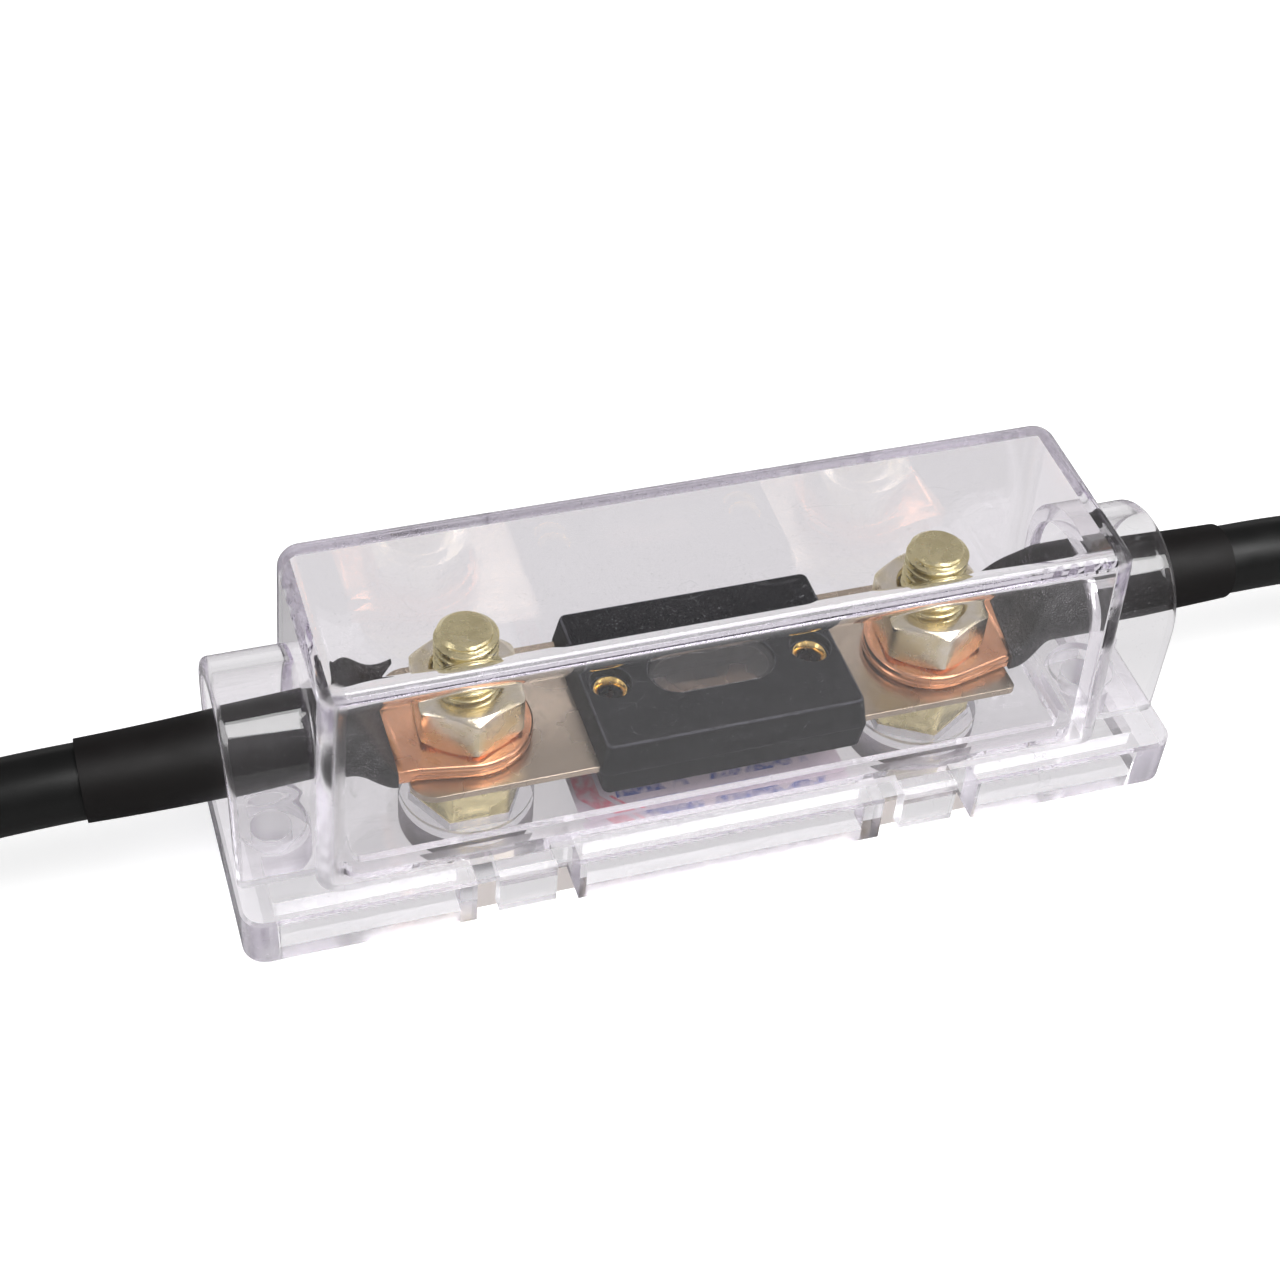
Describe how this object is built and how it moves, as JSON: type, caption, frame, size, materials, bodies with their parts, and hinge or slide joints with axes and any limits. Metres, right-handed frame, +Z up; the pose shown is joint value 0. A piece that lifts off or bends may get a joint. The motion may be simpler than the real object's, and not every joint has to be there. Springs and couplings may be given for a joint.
{
  "type": "anl fuse holder",
  "caption": "Clear lidded inline holder that clamps a bolt-down strip fuse between two studs, with a lugged heavy cable leaving each end.",
  "frame": {"origin": "middle of the base's underside, halfway between the two studs", "axes": "+X along the leads towards the right-hand one, +Y across the base towards the back, +Z up out of the base"},
  "size_m": [0.4544, 0.035, 0.04],
  "materials": {
    "clear_plastic": "clear, glossy, faint lilac tint",
    "window_plastic": "clear, glossy",
    "label_film": "printed film",
    "blade_metal": "bright tin plate",
    "fuse_moulding": "fine texture, charcoal",
    "zinc_steel": "yellow zinc plate",
    "eyelet_brass": "bright brass",
    "lug_copper": "satin copper",
    "strand_copper": "bare copper strands",
    "sleeve_black": "matte heat-shrink",
    "cable_jacket": "smooth, slightly glossy"
  },
  "bodies": {
    "holder": {"base": "clear_plastic", "base_label": "label_film", "fuse_link": "blade_metal", "fuse_lower_shell": "fuse_moulding", "fuse_upper_shell": "fuse_moulding", "fuse_window": "window_plastic", "left_cable": "cable_jacket", "left_conductor": "strand_copper", "left_end_conductor": "strand_copper", "left_end_heat_shrink": "sleeve_black", "left_end_lug": "lug_copper", "left_eyelet": "eyelet_brass", "left_heat_shrink": "sleeve_black", "left_lug": "lug_copper", "left_nut": "zinc_steel", "left_stud": "zinc_steel", "right_cable": "cable_jacket", "right_conductor": "strand_copper", "right_end_conductor": "strand_copper", "right_end_heat_shrink": "sleeve_black", "right_end_lug": "lug_copper", "right_eyelet": "eyelet_brass", "right_heat_shrink": "sleeve_black", "right_lug": "lug_copper", "right_nut": "zinc_steel", "right_stud": "zinc_steel"},
    "cover": {"cover": "clear_plastic"}
  },
  "joints": [
    {"name": "cover_lift", "type": "slide", "parent": "holder", "child": "cover", "axis": [0, 0, 1], "range_m": [0, 0.05]}
  ]
}
